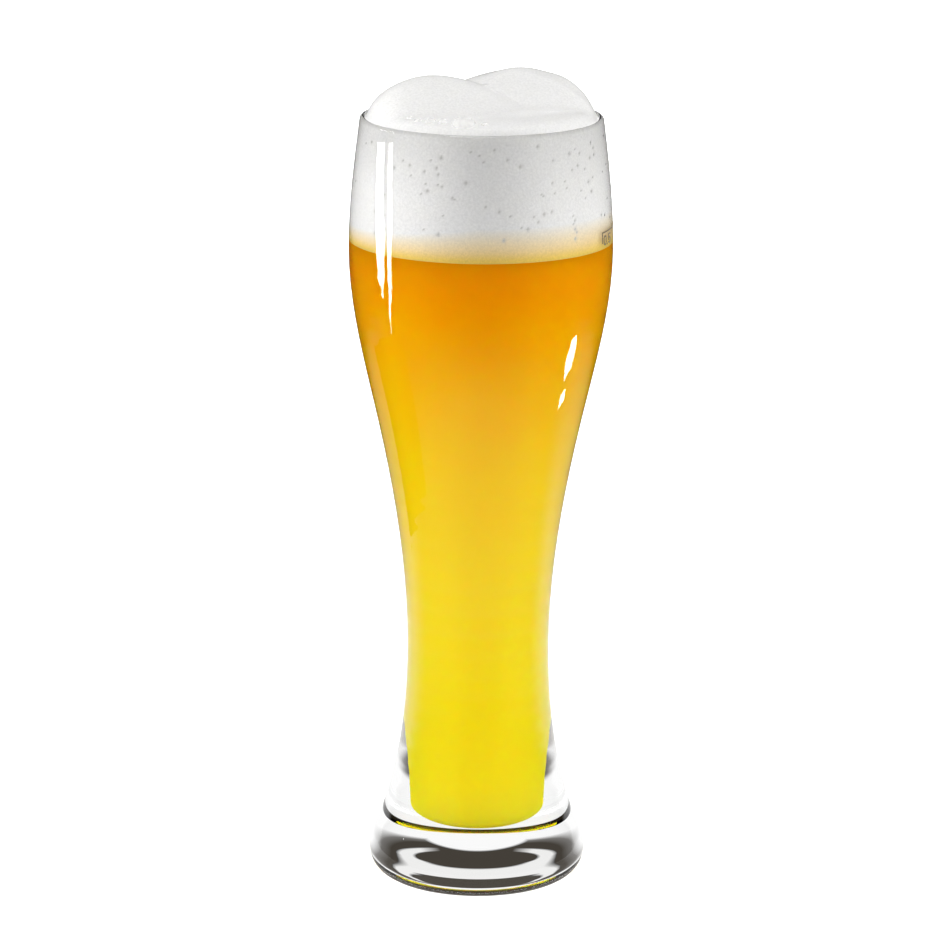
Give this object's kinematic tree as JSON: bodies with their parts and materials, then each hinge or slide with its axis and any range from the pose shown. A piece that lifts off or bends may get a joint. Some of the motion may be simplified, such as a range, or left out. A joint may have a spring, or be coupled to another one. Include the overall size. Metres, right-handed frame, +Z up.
{
  "type": "weizen glass",
  "caption": "Tall waisted wheat-beer glass with a thick rounded foot, full of hazy amber beer under a heaped foam head, with a printed fill line.",
  "frame": {"origin": "on the glass's axis, in the plane of the standing ring", "axes": "+Z up along the axis towards the rim; the fill mark is on the +X side; -Y is the side that the picture shows"},
  "size_m": [0.0866, 0.0866, 0.2712],
  "materials": {
    "clear_glass": "polished",
    "hazy_beer": "gloss",
    "beer_foam": "matte",
    "fired_print": "satin"
  },
  "bodies": {
    "root": {"glass": "clear_glass", "beer": "hazy_beer", "foam_head": "beer_foam", "fill_line": "fired_print", "fill_numerals": "fired_print"}
  },
  "joints": []
}
